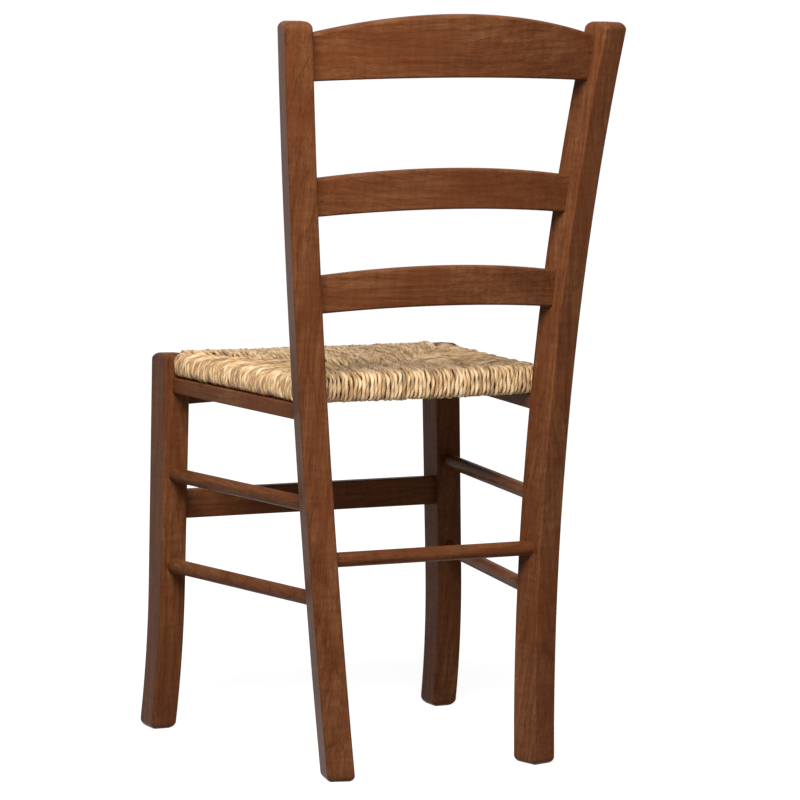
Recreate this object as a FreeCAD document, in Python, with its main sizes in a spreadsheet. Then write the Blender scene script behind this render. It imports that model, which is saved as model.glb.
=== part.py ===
import FreeCAD, Part
import math
import os

import Sketcher
from FreeCAD import Placement, Rotation, Vector

# A ladderback chair. The sitter looks along -Y, so the sitter's left is +X.
# The origin is on the floor under the middle of the chair's outline.

# Driving sizes, in millimetres and degrees
DRIVING_SIZES = {
    # rear posts
    "post_height": 875,
    "post_width": 33,
    "post_depth": 38,
    "post_foot_x": 145,
    "post_foot_y": 165.2,
    "post_splay": 4.6,
    "post_toe": 13,
    "foot_sweep": 24,
    "foot_sweep_start": 370,
    "back_lean": 43,
    "back_lean_start": 390,
    # front legs
    "leg_height": 463,
    "leg_width": 33,
    "leg_foot_depth": 36,
    "leg_top_depth": 42,
    "leg_foot_x": 211,
    "foot_spacing": 317,
    "leg_splay": 1.2,
    "leg_rake": 1.5,
    "leg_kick": 20,
    "leg_kick_start": 180,
    "leg_top_slope": 4,
    # softened edges of the frame
    "long_edge_round": 2.5,
    "post_top_round": 8,
    "post_foot_round": 7,
    "leg_top_round": 8,
    "leg_foot_round": 9,
    "slat_edge_round": 3,
    # slats
    "slat_thickness": 13,
    "slat_bend_radius": 760,
    "slat_setback": 16,
    "slat_tenon": 14,
    "top_slat_drop": 15,
    "top_slat_width": 54,
    "top_slat_rise": 23,
    "top_slat_arch": 5,
    "middle_slat_drop": 180,
    "middle_slat_width": 44,
    "middle_slat_rise": 11,
    "middle_slat_arch": 8,
    "lower_slat_drop": 292,
    "lower_slat_width": 43.5,
    "lower_slat_rise": 10,
    "lower_slat_arch": 7,
    # rungs
    "rung_diameter": 17.5,
    "rung_socket": 17,
    "upper_rung_height": 315,
    "lower_rung_height": 204.5,
    "rear_rung_height": 254,
    # front stretcher
    "stretcher_low": 260,
    "stretcher_height": 35,
    "stretcher_thickness": 14,
    "stretcher_setback": 8,
    "stretcher_tenon": 14,
    # side rails and front apron
    "rail_drop": 30,
    "rail_height": 18.5,
    "rail_width": 20,
    "rail_leg_inset": 10,
    "rail_post_inset": 4.5,
    "rail_tenon": 12,
    "rail_edge_round": 2,
    "apron_height": 35,
    "apron_thickness": 18,
    "apron_setback": 9.4,
    "apron_arch": 4,
    "apron_tenon": 14,
    # woven seat
    "seat_gap": 0.3,
    "seat_side_gap": 0.6,
    "seat_edge_height": 29,
    "seat_crown": 3,
    "seat_crown_reach": 260,
    "seat_crown_setback": 80,
    "seat_front_setback": 5,
    "seat_top_round": 13,
    "seat_bottom_round": 10,
    "seam_depth": 6,
    "seam_corner_depth": 2.5,
    "seam_spread": 4,
    "bridge_length": 66,
    "bridge_setback": 12,
    "rush_side_wrap": 6,
    "rush_face_wrap": 5,
    "bar_width": 36,
    "stuffing_gap": 0.3,
    # dowels and screws of the seat
    "dowel_diameter": 8,
    "dowel_length": 30,
    "screw_diameter": 4,
    "screw_head_diameter": 8,
    "screw_head_height": 3,
    "screw_grip": 12,
    "screw_sink": 6,
    "screw_front_inset": 60,
    "screw_rear_inset": 70,
    "screw_side_inset": 12,
    # clearances of the joints
    "joint_clearance": 0.1,
    "socket_end_clearance": 0.5,
    "hole_clearance": 0.2,
}


class Size(float):
    """A number that remembers the sheet expression it comes from."""

    def __new__(cls, value, text):
        number = float.__new__(cls, value)
        number.text = text
        return number

    def __add__(self, other):
        return Size(float(self) + float(other), f"({self.text} + {written(other)})")

    def __sub__(self, other):
        return Size(float(self) - float(other), f"({self.text} - {written(other)})")

    def __mul__(self, other):
        return Size(float(self) * float(other), f"({self.text} * {written(other)})")

    def __truediv__(self, other):
        return Size(float(self) / float(other), f"({self.text} / {written(other)})")

    def __neg__(self):
        return Size(-float(self), f"(0 - {self.text})")


def written(amount):
    """Give the expression of a Size, or the digits of a plain number."""
    if isinstance(amount, Size):
        return amount.text
    return f"({float(amount):.9f})"


doc = FreeCAD.newDocument("Chair")
sheet = doc.addObject("Spreadsheet::Sheet", "Sizes")
for row, (alias, number) in enumerate(DRIVING_SIZES.items(), start=1):
    sheet.set(f"A{row}", alias)
    sheet.set(f"B{row}", str(number))
    sheet.setAlias(f"B{row}", alias)
doc.recompute()
size = {alias: Size(sheet.get(alias), f"Sizes.{alias}") for alias in DRIVING_SIZES}


def bind(thing, name, amount):
    """Set a property and tie it to the sheet where the amount comes from it."""
    setattr(thing, name, float(amount))
    if isinstance(amount, Size):
        thing.setExpression(name, amount.text)


# Sketches and bodies

def new_body(name):
    return doc.addObject("PartDesign::Body", name)


def new_sketch(body, role, name):
    """Add a sketch on one of the body's own origin planes."""
    plane = next(item for item in body.Origin.OriginFeatures if item.Role == role)
    sketch = body.newObject("Sketcher::SketchObject", name)
    sketch.AttachmentSupport = [(plane, "")]
    sketch.MapMode = "FlatFace"
    return sketch


def hold(sketch, kind, places, amount):
    """Add one dimension to a sketch and tie it to the sheet."""
    index = sketch.addConstraint(Sketcher.Constraint(kind, *places, float(amount)))
    if isinstance(amount, Size):
        label = f"held_{index}"
        sketch.renameConstraint(index, label)
        sketch.setExpression(f"Constraints.{label}", amount.text)


def bent_side(start, end, radius):
    """An arc from start to end; a positive radius bulges to the right of the way."""
    chord = end - start
    half = chord.Length / 2
    bend = abs(float(radius))
    rise = math.sqrt(bend * bend - half * half)
    across = Vector(chord.y, -chord.x, 0).normalize()
    turn = 1 if radius > 0 else -1
    centre = (start + end) / 2 - across * rise * turn
    circle = Part.Circle(centre, Vector(0, 0, 1), bend)
    first, last = (start, end) if radius > 0 else (end, start)
    first_angle = math.atan2(first.y - centre.y, first.x - centre.x)
    last_angle = math.atan2(last.y - centre.y, last.x - centre.x)
    if last_angle < first_angle:
        last_angle += 2 * math.pi
    return Part.ArcOfCircle(circle, first_angle, last_angle)


def outline(sketch, corners, bends=None):
    """Draw a closed outline through corners; bends gives side numbers their radius."""
    bends = bends or {}
    points = [Vector(float(x), float(y), 0) for x, y in corners]
    ends = []
    for side, start in enumerate(points):
        end = points[(side + 1) % len(points)]
        if side in bends:
            index = sketch.addGeometry(bent_side(start, end, bends[side]))
            ends.append((index, 1, 2) if bends[side] > 0 else (index, 2, 1))
        else:
            index = sketch.addGeometry(Part.LineSegment(start, end))
            ends.append((index, 1, 2))
    for side, (index, first, last) in enumerate(ends):
        following, next_first, _ = ends[(side + 1) % len(ends)]
        sketch.addConstraint(
            Sketcher.Constraint("Coincident", index, last, following, next_first))
        x, y = corners[side]
        hold(sketch, "DistanceX", (-1, 1, index, first), x)
        hold(sketch, "DistanceY", (-1, 1, index, first), y)
        if side in bends:
            radius = bends[side]
            hold(sketch, "Radius", (index,), radius if radius > 0 else -radius)


def pad(body, sketch, name, length, centred=False, reversed_way=False):
    feature = body.newObject("PartDesign::Pad", name)
    feature.Profile = sketch
    feature.Midplane = centred
    feature.Reversed = reversed_way
    bind(feature, "Length", length)
    sketch.Visibility = False
    return feature


def round_edges(source, name, picks):
    """Round edges of a shape; picks pairs a test on an edge with its radius."""
    doc.recompute()
    rounded = doc.addObject("Part::Fillet", name)
    rounded.Base = source
    chosen = []
    for index, edge in enumerate(source.Shape.Edges, start=1):
        for test, radius in picks:
            if test(edge):
                chosen.append((index, float(radius), float(radius)))
                break
    rounded.Edges = chosen
    return rounded


def cut(base, name, tools):
    """Take the tools away from the base."""
    group = doc.addObject("Part::Compound", f"{name}_tools")
    group.Links = tools
    result = doc.addObject("Part::Cut", name)
    result.Base = base
    result.Tool = group
    return result


def common(name, first, second):
    result = doc.addObject("Part::Common", name)
    result.Base = first
    result.Tool = second
    return result


def mirror(source, name):
    """The same piece on the sitter's right."""
    result = doc.addObject("Part::Mirroring", name)
    result.Source = source
    result.Normal = Vector(1, 0, 0)
    return result


def box(name, low, high):
    """A plain block between two corners."""
    block = doc.addObject("Part::Box", name)
    block.Length = float(high.x - low.x)
    block.Width = float(high.y - low.y)
    block.Height = float(high.z - low.z)
    block.Placement.Base = low
    return block


nodes = []


def keep(piece, label):
    """Name a finished piece and list it to be written."""
    piece.Label = label
    nodes.append(piece)
    return piece


# Lines of the rear posts

def bend_radius(run, offset):
    """Radius of an arc that leaves a straight line and is offset after a run."""
    return (run * run + offset * offset) / (offset * 2)


lower_bend = bend_radius(size["foot_sweep_start"], size["foot_sweep"])
upper_run = size["post_height"] - size["back_lean_start"]
upper_bend = bend_radius(upper_run, size["back_lean"])
post_turn = Rotation(Vector(0, 0, 1), -size["post_toe"])
post_tilt = Rotation(Vector(0, 1, 0), size["post_splay"])
post_place = Placement(
    Vector(size["post_foot_x"], size["post_foot_y"], 0), post_turn * post_tilt)


def sweep_at(height):
    """How far the post's rear face lies behind its straight part, along the post."""
    if height < size["foot_sweep_start"]:
        run = size["foot_sweep_start"] - height
        return lower_bend - math.sqrt(lower_bend ** 2 - run ** 2)
    if height > size["back_lean_start"]:
        run = height - size["back_lean_start"]
        return upper_bend - math.sqrt(upper_bend ** 2 - run ** 2)
    return 0.0


def post_point(height, inward, forward):
    """A point of the left post: inward of its outer face, forward of its rear face."""
    splay = math.radians(size["post_splay"])
    along = (height - inward * math.sin(splay)) / math.cos(splay)
    local = Vector(-inward, sweep_at(along) - forward, along)
    return post_place.multVec(local)


# Lines of the front legs

leg_place = Placement(
    Vector(size["leg_foot_x"], size["post_foot_y"] - size["foot_spacing"], 0),
    Rotation(Vector(0, 1, 0), -size["leg_splay"]))
kick_bend = bend_radius(size["leg_kick_start"], size["leg_kick"])


def leg_rear_at(height):
    """The leg's rear face in its own side view."""
    face = -height * math.tan(math.radians(size["leg_rake"]))
    if height < size["leg_kick_start"]:
        run = size["leg_kick_start"] - height
        face -= kick_bend - math.sqrt(kick_bend ** 2 - run ** 2)
    return face


def leg_depth_at(height):
    taper = (size["leg_top_depth"] - size["leg_foot_depth"]) / size["leg_height"]
    return size["leg_foot_depth"] + taper * height


def leg_point(height, inward, forward):
    """A point of the left leg: inward of its outer face, forward of its rear face."""
    splay = math.radians(size["leg_splay"])
    along = (height + inward * math.sin(splay)) / math.cos(splay)
    local = Vector(-inward, leg_rear_at(along) - forward, along)
    return leg_place.multVec(local)


# Rear post

# How far a blank or a drill passes what it is cut to, and a reach past the whole chair
TRIM = 8.0
WIDE = 2000.0


def on_level(height):
    """A test for edges that lie flat at a height."""
    return lambda edge: all(abs(v.Point.z - float(height)) < 0.01 for v in edge.Vertexes)


def climbs(edge):
    """A test for edges that run up the piece."""
    box_of_edge = edge.BoundBox
    return box_of_edge.ZLength > max(box_of_edge.XLength, box_of_edge.YLength)


def make_post():
    body = new_body("post_blank")
    side = new_sketch(body, "YZ_Plane", "post_side")
    foot = -TRIM
    top = size["post_height"] + TRIM
    depth = size["post_depth"]
    low = size["foot_sweep_start"]
    high = size["back_lean_start"]
    foot_back = sweep_at(foot)
    top_back = sweep_at(top)
    corners = [
        (foot_back, foot),
        (Size(0, "0"), low),
        (Size(0, "0"), high),
        (top_back, top),
        (-depth + top_back, top),
        (-depth, high),
        (-depth, low),
        (-depth + foot_back, foot),
    ]
    bends = {0: -lower_bend, 2: -upper_bend, 4: upper_bend, 6: lower_bend}
    outline(side, corners, bends)
    pad(body, side, "post_pad", size["post_width"], reversed_way=True)
    body.Placement = post_place
    span = box("post_span", Vector(-WIDE, -WIDE, 0), Vector(WIDE, WIDE, size["post_height"]))
    sawn = common("post_sawn", body, span)
    return round_edges(sawn, "post_rounded", [
        (on_level(size["post_height"]), size["post_top_round"]),
        (on_level(0), size["post_foot_round"]),
        (climbs, size["long_edge_round"]),
    ])


post_blank = make_post()


# Front leg

def make_leg():
    body = new_body("leg_blank")
    side = new_sketch(body, "YZ_Plane", "leg_side")
    foot = -TRIM
    top = size["leg_height"]
    kick = size["leg_kick_start"]
    fall = math.tan(math.radians(size["leg_top_slope"]))
    rear_top = leg_rear_at(top)
    front_top = rear_top - size["leg_top_depth"]
    corners = [
        (leg_rear_at(foot), foot),
        (leg_rear_at(kick), kick),
        (rear_top, top),
        (front_top, top - size["leg_top_depth"] * fall),
        (leg_rear_at(kick) - leg_depth_at(kick), kick),
        (leg_rear_at(foot) - leg_depth_at(foot), foot),
    ]
    outline(side, corners, {0: kick_bend, 4: -kick_bend})
    pad(body, side, "leg_pad", size["leg_width"], reversed_way=True)
    body.Placement = leg_place
    span = box("leg_span", Vector(-WIDE, -WIDE, 0), Vector(WIDE, WIDE, WIDE))
    sawn = common("leg_sawn", body, span)

    def round_the_top(edge):
        return all(v.Point.z > (kick + top) / 2 for v in edge.Vertexes)

    return round_edges(sawn, "leg_rounded", [
        (round_the_top, size["leg_top_round"]),
        (on_level(0), size["leg_foot_round"]),
        (climbs, size["long_edge_round"]),
    ])


leg_blank = make_leg()


# Slats: boards bent to one radius, arched above and below, leaning with the posts

def slat_blank(name, wanted, grow):
    """One slat between the posts; grow makes the slightly larger tool for its mortise."""
    high = size["post_height"] - size[f"{wanted}_drop"]
    low = high - size[f"{wanted}_width"]
    middle = (low + high) / 2
    below, end, above = [post_point(height, size["post_width"], size["slat_setback"])
                         for height in (low, middle, high)]
    lean = math.atan2(above.y - below.y, above.z - below.z)
    bend = size["slat_bend_radius"]
    sag = bend - math.sqrt(bend ** 2 - end.x ** 2)
    drop = sag * math.sin(lean)
    stretch = 1 / math.cos(lean)

    # heights above the slat's own middle, at the posts and on the centre line
    top_end = (high - middle) * stretch
    top_crown = (high + size[f"{wanted}_rise"] - middle + drop) * stretch
    bottom_end = (low - middle) * stretch
    bottom_crown = (low + size[f"{wanted}_arch"] - middle + drop) * stretch
    end_gap = size["socket_end_clearance"] if grow else 0
    reach = end.x + size["slat_tenon"] + end_gap
    top_radius = bend_radius(end.x, top_crown - top_end)
    bottom_radius = bend_radius(end.x, bottom_crown - bottom_end)
    top_tip = top_crown - top_radius + math.sqrt(top_radius ** 2 - reach ** 2) + grow
    bottom_tip = bottom_crown - bottom_radius
    bottom_tip += math.sqrt(bottom_radius ** 2 - reach ** 2) - grow

    face = new_body(f"{name}_face")
    front = new_sketch(face, "XZ_Plane", f"{name}_front")
    outline(front, [
        (-reach, bottom_tip), (reach, bottom_tip), (reach, top_tip), (-reach, top_tip),
    ], {0: -bottom_radius, 2: top_radius})
    pad(face, front, f"{name}_face_pad", bend, centred=True)

    strip = new_body(f"{name}_strip")
    plan = new_sketch(strip, "XY_Plane", f"{name}_plan")
    thickness = size["slat_thickness"]
    rear = bend + grow
    inner = bend - thickness - grow
    turn = math.asin((reach + TRIM) / bend)
    across = math.sin(turn)
    back = math.cos(turn)
    outline(plan, [
        (inner * -across, inner * back - bend),
        (inner * across, inner * back - bend),
        (rear * across, rear * back - bend),
        (rear * -across, rear * back - bend),
    ], {0: -inner, 2: rear})
    pad(strip, plan, f"{name}_strip_pad", size["post_height"], centred=True)

    place = Placement(
        Vector(0, end.y + sag * math.cos(lean), middle - drop),
        Rotation(Vector(1, 0, 0), -math.degrees(lean)))
    face.Placement = place
    strip.Placement = place
    return common(name, face, strip)


def long_slat_edge(edge):
    return edge.BoundBox.XLength > size["post_foot_x"]


def make_slat(wanted):
    blank = slat_blank(f"{wanted}_blank", wanted, 0)
    slat = round_edges(blank, f"{wanted}_rounded", [(long_slat_edge, size["slat_edge_round"])])
    tool = slat_blank(f"{wanted}_tool", wanted, size["joint_clearance"])
    return slat, tool


top_slat, top_slat_tool = make_slat("top_slat")
middle_slat, middle_slat_tool = make_slat("middle_slat")
lower_slat, lower_slat_tool = make_slat("lower_slat")
slat_tools = [top_slat_tool, middle_slat_tool, lower_slat_tool]


# Rungs: round bars glued into drilled sockets

def rod(name, start, end, diameter):
    bar = doc.addObject("Part::Cylinder", name)
    bind(bar, "Radius", diameter / 2)
    bar.Height = (end - start).Length
    bar.Placement = Placement(start, Rotation(Vector(0, 0, 1), end - start))
    return bar


def make_rung(name, start, end):
    """A rung from face to face, let into both pieces, and the tool for its sockets."""
    way = (end - start).normalize()
    socket = size["rung_socket"]
    rung = rod(name, start - way * socket, end + way * socket, size["rung_diameter"])
    reach = socket + size["socket_end_clearance"]
    bore = size["rung_diameter"] + size["joint_clearance"] * 2
    tool = rod(f"{name}_tool", start - way * reach, end + way * reach, bore)
    return rung, tool


def side_rung(name, height):
    start = leg_point(height, size["leg_width"] / 2, 0)
    end = post_point(height, size["post_width"] / 2, size["post_depth"])
    return make_rung(name, start, end)


upper_rung, upper_rung_tool = side_rung("upper_rung", size["upper_rung_height"])
lower_rung, lower_rung_tool = side_rung("lower_rung", size["lower_rung_height"])
rear_end = post_point(size["rear_rung_height"], size["post_width"], size["post_depth"] / 2)
rear_start = Vector(-rear_end.x, rear_end.y, rear_end.z)
rear_rung, rear_rung_tool = make_rung("rear_rung_bar", rear_start, rear_end)


# Boards between the front legs

rail_top = size["leg_height"] - size["rail_drop"]


def board(name, low, height, thickness, forward, tenon, arch, grow):
    """A board let into the legs' inner faces, its rear face forward of their rear faces."""
    middle = low + height / 2
    face = leg_point(middle, size["leg_width"], forward)
    end_gap = size["socket_end_clearance"] if grow else 0
    reach = face.x + tenon + end_gap
    bottom = low - grow
    top = low + height + grow
    body = new_body(name)
    front = new_sketch(body, "XZ_Plane", f"{name}_front")
    bends = {}
    if arch:
        radius = bend_radius(face.x, arch)
        bends = {0: -radius}
        bottom = bottom - (radius - math.sqrt(radius ** 2 - reach ** 2)) + arch
    corners = [(-reach, bottom), (reach, bottom), (reach, top), (-reach, top)]
    outline(front, corners, bends)
    pad(body, front, f"{name}_pad", thickness + grow * 2, centred=True)
    body.Placement.Base = Vector(0, face.y - thickness / 2, 0)
    return body


def make_stretcher(name, grow):
    return board(name, size["stretcher_low"], size["stretcher_height"],
                 size["stretcher_thickness"], size["stretcher_setback"],
                 size["stretcher_tenon"], 0, grow)


def make_apron(name, grow):
    """The apron lies behind the legs' front faces and is arched underneath."""
    low = rail_top - size["apron_height"]
    depth = leg_depth_at(low + size["apron_height"] / 2)
    forward = depth - size["apron_setback"] - size["apron_thickness"]
    return board(name, low, size["apron_height"], size["apron_thickness"], forward,
                 size["apron_tenon"], size["apron_arch"], grow)


def long_board_edge(edge):
    return edge.BoundBox.XLength > size["leg_foot_x"]


stretcher_blank = make_stretcher("stretcher_blank", 0)
stretcher = round_edges(stretcher_blank, "stretcher_rounded", [
    (long_board_edge, size["rail_edge_round"])])
stretcher_tool = make_stretcher("stretcher_tool", size["joint_clearance"])
apron_blank = make_apron("apron_blank", 0)
apron = round_edges(apron_blank, "apron_rounded", [
    (long_board_edge, size["rail_edge_round"])])
apron_tool = make_apron("apron_tool", size["joint_clearance"])


# Side rails

rail_low = rail_top - size["rail_height"]
rail_middle = rail_low + size["rail_height"] / 2
rail_front = leg_point(rail_middle, size["rail_leg_inset"], 0)
rail_rear = post_point(rail_middle, size["rail_post_inset"], size["post_depth"])
rail_way = Vector(rail_rear.x - rail_front.x, rail_rear.y - rail_front.y, 0).normalize()
rail_in = Vector(-rail_way.y, rail_way.x, 0)


def make_rail(name, grow):
    end_gap = size["socket_end_clearance"] if grow else 0
    reach = size["rail_tenon"] + end_gap
    front = rail_front - rail_way * reach - rail_in * grow
    rear = rail_rear + rail_way * reach - rail_in * grow
    across = rail_in * float(size["rail_width"] + grow * 2)
    body = new_body(name)
    plan = new_sketch(body, "XY_Plane", f"{name}_plan")
    corners = [front, rear, rear + across, front + across]
    outline(plan, [(corner.x, corner.y) for corner in corners])
    pad(body, plan, f"{name}_pad", size["rail_height"] + grow * 2)
    body.Placement.Base = Vector(0, 0, rail_low - grow)
    return body


def long_rail_edge(edge):
    return edge.BoundBox.YLength > size["post_foot_y"]


rail_blank = make_rail("rail_blank", 0)
rail = round_edges(rail_blank, "rail_rounded", [
    (long_rail_edge, size["rail_edge_round"])])
rail_tool = make_rail("rail_tool", size["joint_clearance"])


# Woven seat: a drop-in frame of four bars under a thick cover of rush

seat_low = rail_top + size["seat_gap"]
seat_high = seat_low + size["seat_edge_height"]
rear_line = min(
    post_point(height, 0, size["post_depth"]).y for height in (seat_low, seat_high))
rear_line -= size["seat_side_gap"]
leg_rear_line = max(leg_point(height, 0, 0).y for height in (seat_low, seat_high))
leg_rear_line += size["seat_side_gap"]
leg_side_line = min(
    leg_point(height, size["leg_width"], 0).x for height in (seat_low, seat_high))
leg_side_line -= size["seat_side_gap"]
leg_front_line = leg_point(seat_low, 0, leg_depth_at(seat_low)).y
front_line = leg_front_line + size["seat_front_setback"]


def side_line(y, inset):
    """The seat's side at a depth, measured from the side rail's outer face."""
    along = (y - rail_front.y) / rail_way.y
    return (rail_front + rail_way * along + rail_in * (inset / abs(rail_way.y))).x


def both_sides(half):
    """Close an outline by repeating its left half, from the rear on, on the right."""
    return half + [(-x, y) for x, y in reversed(half)]


def seat_plan(inset):
    """The seat's outline from above, with a notch round each front leg."""
    rear = rear_line - inset
    shoulder = leg_rear_line + inset
    front = front_line + inset
    notch = leg_side_line - inset
    return both_sides([
        (side_line(rear, inset), rear),
        (side_line(shoulder, inset), shoulder),
        (notch, shoulder),
        (notch, front),
    ])


def prism(name, corners, low, height):
    """An upright block over a flat outline."""
    body = new_body(name)
    plan = new_sketch(body, "XY_Plane", f"{name}_plan")
    outline(plan, corners)
    pad(body, plan, f"{name}_pad", height)
    body.Placement.Base = Vector(0, 0, low)
    return body


seat_middle = (rear_line + leg_rear_line) / 2
crown_radius = bend_radius(size["seat_crown_reach"], size["seat_crown"])
crown_centre = Vector(
    0, seat_middle + size["seat_crown_setback"], seat_high + size["seat_crown"] - crown_radius)


def crown_height(x, y):
    """Height of the crowned top over a point of the plan."""
    gone = (x - crown_centre.x) ** 2 + (y - crown_centre.y) ** 2
    return crown_centre.z + math.sqrt(crown_radius ** 2 - gone)


def make_cover_form():
    block = prism(
        "cover_block", seat_plan(0), seat_low, size["seat_edge_height"] + size["seat_crown"])
    dome = doc.addObject("Part::Sphere", "cover_dome")
    bind(dome, "Radius", crown_radius)
    dome.Placement.Base = crown_centre
    crowned = common("cover_crowned", block, dome)

    def on_top(edge):
        return all(v.Point.z > seat_low + size["seat_edge_height"] / 2 for v in edge.Vertexes)

    return round_edges(crowned, "cover_form", [
        (on_level(seat_low), size["seat_bottom_round"]),
        (on_top, size["seat_top_round"]),
    ])


cover_form = make_cover_form()


# Seams: where the strands of two sides of the seat meet, its top sinks in a valley

def valley_section(name, spot, across, depth):
    """A section with a steep bottom and flatter shoulders that run out above the top."""
    reach = depth * size["seam_spread"]
    shape = [(-2, 0.7), (-0.5, -0.35), (0, -1), (0.5, -0.35), (2, 0.7)]
    section = doc.addObject("Part::Polygon", name)
    section.Nodes = [
        Vector(spot.x, spot.y, crown_height(spot.x, spot.y) + depth * rise)
        + across * float(reach * share)
        for share, rise in shape]
    section.Close = True
    return section


def valley(name, start, start_depth, end, end_depth):
    """A straight seam between two points of the plan."""
    way = (end - start).normalize()
    across = Vector(-way.y, way.x, 0)
    form = doc.addObject("Part::Loft", name)
    form.Sections = [
        valley_section(f"{name}_start", start, across, start_depth),
        valley_section(f"{name}_end", end, across, end_depth)]
    form.Solid = True
    form.Ruled = True
    return form


def make_valleys():
    """A short bridge in the middle, and a seam from its ends to each corner."""
    deep = size["seam_depth"]
    shallow = size["seam_corner_depth"]
    half = size["bridge_length"] / 2
    line = seat_middle + size["bridge_setback"]
    bridge_end = Vector(half, line, 0)
    valleys = [valley("seam_bridge", Vector(-half, line, 0), deep, bridge_end, deep)]
    corners = {
        "rear": Vector(side_line(rear_line, 0), rear_line, 0),
        "front": Vector(leg_side_line, leg_rear_line, 0),
    }
    for place, corner in corners.items():
        past = (corner - bridge_end).normalize() * (size["seat_top_round"] * 2)
        seam = valley(f"seam_{place}", bridge_end, deep, corner + past, shallow)
        valleys += [seam, mirror(seam, f"seam_{place}_mirror")]
    return valleys


# Seat frame: the bars lie inside the rush, joined by dowels

bar_low = seat_low + size["rush_face_wrap"]
bar_height = size["seat_edge_height"] - size["rush_face_wrap"] * 2
bar_middle = bar_low + bar_height / 2
wrap = size["rush_side_wrap"]
inner_wrap = wrap + size["bar_width"]
bar_rear = rear_line - wrap
bar_joint = bar_rear - size["bar_width"]
bar_shoulder = leg_rear_line + wrap
bar_front = front_line + wrap
bar_notch = leg_side_line - wrap

rear_bar_blank = prism("rear_bar_blank", both_sides([
    (side_line(bar_rear, wrap), bar_rear),
    (side_line(bar_joint, wrap), bar_joint),
]), bar_low, bar_height)
front_bar_blank = prism("front_bar_blank", both_sides([
    (bar_notch, bar_shoulder),
    (bar_notch, bar_front),
]), bar_low, bar_height)
side_bar_blank = prism("side_bar_blank", [
    (side_line(bar_joint, wrap), bar_joint),
    (side_line(bar_shoulder, wrap), bar_shoulder),
    (side_line(bar_shoulder, inner_wrap), bar_shoulder),
    (side_line(bar_joint, inner_wrap), bar_joint),
], bar_low, bar_height)


def make_dowels():
    """Four dowels across the joints of the bars, and the tools for their holes."""
    front_x = (side_line(bar_shoulder, inner_wrap) + bar_notch) / 2
    rear_x = side_line(bar_joint, wrap + size["bar_width"] / 2)
    half = size["dowel_length"] / 2
    dowels = []
    tools = []
    for place, x, y in (("front", front_x, bar_shoulder), ("rear", rear_x, bar_joint)):
        for side, sign in (("left", 1), ("right", -1)):
            middle = Vector(sign * x, y, bar_middle)
            name = f"dowel_{place}_{side}"
            way = Vector(0, 1, 0)
            dowels.append(rod(name, middle - way * half, middle + way * half,
                              size["dowel_diameter"]))
            reach = half + size["socket_end_clearance"]
            tools.append(rod(f"{name}_tool", middle - way * reach, middle + way * reach,
                             size["dowel_diameter"] + size["joint_clearance"] * 2))
    return dowels, tools


dowels, dowel_tools = make_dowels()
front_left_tool, front_right_tool, rear_left_tool, rear_right_tool = dowel_tools


# Screws: up through each side rail and the rush into the side bar

screw_seat = rail_low + size["screw_sink"]
screw_tip = bar_low + size["screw_grip"]
screw_depths = {
    "front": rail_front.y + size["screw_front_inset"],
    "rear": rail_rear.y - size["screw_rear_inset"],
}


def upright(name, spot, low, high, diameter):
    return rod(name, Vector(spot.x, spot.y, low), Vector(spot.x, spot.y, high), diameter)


def make_screw(name, spot):
    head_low = screw_seat - size["screw_head_height"]
    head = upright(f"{name}_head", spot, head_low, screw_seat, size["screw_head_diameter"])
    shank = upright(f"{name}_shank", spot, screw_seat, screw_tip, size["screw_diameter"])
    screw = doc.addObject("Part::Fuse", name)
    screw.Base = head
    screw.Tool = shank
    return screw


def make_screws():
    """Four screws, with the hole tools of the left rail, of the cover and of the bars."""
    loose = size["hole_clearance"]
    bore = size["screw_diameter"] + loose * 2
    head_bore = size["screw_head_diameter"] + loose * 2
    pilot_end = screw_tip + size["socket_end_clearance"]
    screws = []
    rail_tools = []
    cover_tools = []
    bar_tools = []
    for place, y in screw_depths.items():
        for side, sign in (("left", 1), ("right", -1)):
            name = f"screw_{place}_{side}"
            spot = Vector(sign * side_line(y, size["screw_side_inset"]), y, 0)
            screws.append(make_screw(name, spot))
            cover_tools.append(upright(
                f"{name}_cover_tool", spot, seat_low - TRIM, bar_middle, bore))
            if sign > 0:
                rail_tools.append(upright(
                    f"{name}_rail_tool", spot, rail_low - TRIM, seat_low, bore))
                rail_tools.append(upright(
                    f"{name}_sink_tool", spot, rail_low - TRIM, screw_seat, head_bore))
                bar_tools.append(upright(
                    f"{name}_bar_tool", spot, bar_low - TRIM, pilot_end,
                    size["screw_diameter"] + size["joint_clearance"] * 2))
    return screws, rail_tools, cover_tools, bar_tools


screws, screw_rail_tools, screw_cover_tools, screw_bar_tools = make_screws()


# Finished pieces: the joints are cut, and the sitter's right side is the left one mirrored


def group(name, pieces):
    result = doc.addObject("Part::Compound", name)
    result.Links = pieces
    return result


def fused(name, pieces):
    result = doc.addObject("Part::MultiFuse", name)
    result.Shapes = pieces
    return result


def keep_pair(piece, label):
    keep(piece, f"{label}_left")
    keep(mirror(piece, f"{label}_mirror"), f"{label}_right")


keep_pair(cut(post_blank, "post", slat_tools + [
    upper_rung_tool, lower_rung_tool, rear_rung_tool, rail_tool]), "rear_post")
keep_pair(cut(leg_blank, "leg", [
    upper_rung_tool, lower_rung_tool, stretcher_tool, apron_tool, rail_tool]), "front_leg")
keep(top_slat, "top_slat")
keep(middle_slat, "middle_slat")
keep(lower_slat, "lower_slat")
keep_pair(upper_rung, "upper_side_rung")
keep_pair(lower_rung, "lower_side_rung")
keep(rear_rung, "rear_rung")
keep(stretcher, "front_stretcher")
keep(apron, "front_apron")
keep_pair(cut(rail, "side_rail_drilled", [
    fused("rail_holes", screw_rail_tools)]), "side_rail")
keep(cut(front_bar_blank, "front_bar_drilled", [
    front_left_tool, front_right_tool]), "seat_bar_front")
keep(cut(rear_bar_blank, "rear_bar_drilled", [
    rear_left_tool, rear_right_tool]), "seat_bar_rear")
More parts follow.
